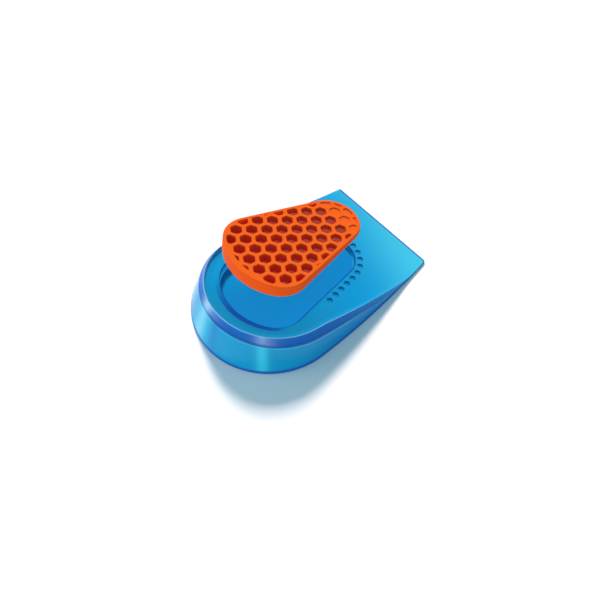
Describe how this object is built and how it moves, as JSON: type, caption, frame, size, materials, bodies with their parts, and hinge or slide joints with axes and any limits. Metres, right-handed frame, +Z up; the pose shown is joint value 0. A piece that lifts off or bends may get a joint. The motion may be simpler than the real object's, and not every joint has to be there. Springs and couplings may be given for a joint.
{
  "type": "heel cup",
  "caption": "Wedge-shaped gel heel cup with a low rim round the heel, a flat thin toe edge and a honeycomb cushion raised out of its recess.",
  "frame": {"origin": "middle of the cup's outline, on the ground under its flat underside", "axes": "+Z up, +Y along the cup from the heel to the toe edge, +X across the foot"},
  "size_m": [0.071, 0.1032, 0.0406],
  "materials": {
    "gel": "glossy translucent blue gel",
    "elastomer": "satin orange elastomer"
  },
  "bodies": {
    "cup": {"gel_cup": "gel"},
    "insert": {"honeycomb_insert": "elastomer"}
  },
  "joints": [
    {"name": "insert_slide", "type": "slide", "parent": "cup", "child": "insert", "axis": [0, 0.1581, 0.9874], "range_m": [-0.0236, 0]}
  ]
}
